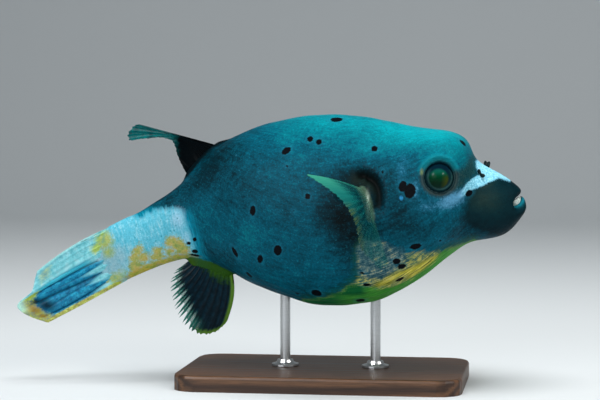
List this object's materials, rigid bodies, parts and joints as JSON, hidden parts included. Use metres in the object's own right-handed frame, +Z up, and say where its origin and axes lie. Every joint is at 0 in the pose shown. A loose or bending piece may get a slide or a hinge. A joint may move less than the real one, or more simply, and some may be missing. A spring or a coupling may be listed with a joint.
{
  "type": "black-spotted pufferfish display model",
  "caption": "Life-size black-spotted pufferfish, swimming, with its tail bent down, held over a flat base by two short rods.",
  "frame": {"origin": "middle of the display base's underside, on the surface that the model stands on", "axes": "+X towards the fish's snout, +Y to the fish's left, +Z up"},
  "size_m": [0.2577, 0.1444, 0.1373],
  "materials": {
    "head_skin": "wet, finely prickled",
    "back_skin": "wet, finely prickled",
    "tail_skin": "wet, finely prickled",
    "lid_skin": "wet, finely wrinkled",
    "dark_fin": "wet membrane over soft rays",
    "clear_fin": "wet, half-clear membrane over soft rays",
    "tail_fin": "wet, pleated membrane over soft rays",
    "eye": "clear and glossy over a dark green iris",
    "beak": "enamel, slightly glossy",
    "walnut": "oiled, satin",
    "steel": "brushed"
  },
  "bodies": {
    "root": {"head": "head_skin", "trunk": "back_skin", "tail_peduncle": "tail_skin", "eye_left": "eye", "eye_right": "eye", "eye_lid_left": "lid_skin", "eye_lid_right": "lid_skin", "nasal_flap_left": "dark_fin", "nasal_flap_right": "dark_fin", "beak_upper": "beak", "beak_lower": "beak", "dorsal_fin": "dark_fin", "anal_fin": "dark_fin", "caudal_fin": "tail_fin", "pectoral_fin_left": "clear_fin", "pectoral_fin_right": "clear_fin", "stand_base": "walnut", "stand_rod_front": "steel", "stand_rod_rear": "steel", "stand_collar_front": "steel", "stand_collar_rear": "steel"}
  },
  "joints": []
}
